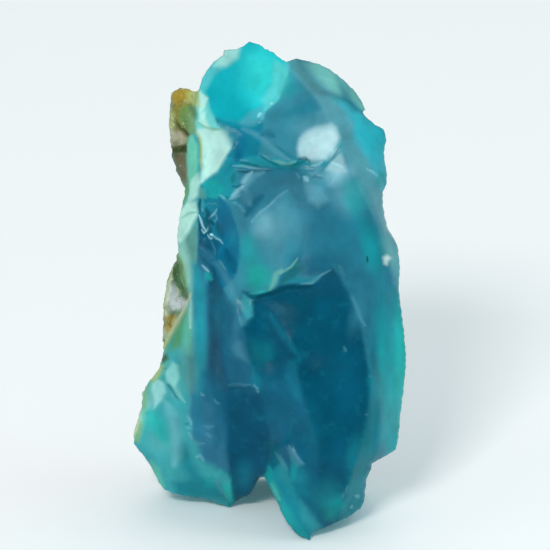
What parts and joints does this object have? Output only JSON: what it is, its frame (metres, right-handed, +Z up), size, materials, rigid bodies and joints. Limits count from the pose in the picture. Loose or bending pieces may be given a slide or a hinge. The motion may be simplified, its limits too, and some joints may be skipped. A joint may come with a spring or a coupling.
{
  "type": "chrysocolla specimen",
  "caption": "Broken block of translucent blue-green chrysocolla with conchoidal facets and a crumbly rind, standing upright on its own feet.",
  "frame": {"origin": "centre of the bounding box's bottom, on the surface that the stone stands on", "axes": "+Z up, the broad blue face looks along -Y, +X to that face's right"},
  "size_m": [0.055, 0.0464, 0.0934],
  "materials": {
    "chrysocolla": "waxy to glassy broken surfaces, slightly translucent, matt earthy rind on the left and back"
  },
  "bodies": {
    "root": {"chrysocolla_stone": "chrysocolla"}
  },
  "joints": []
}
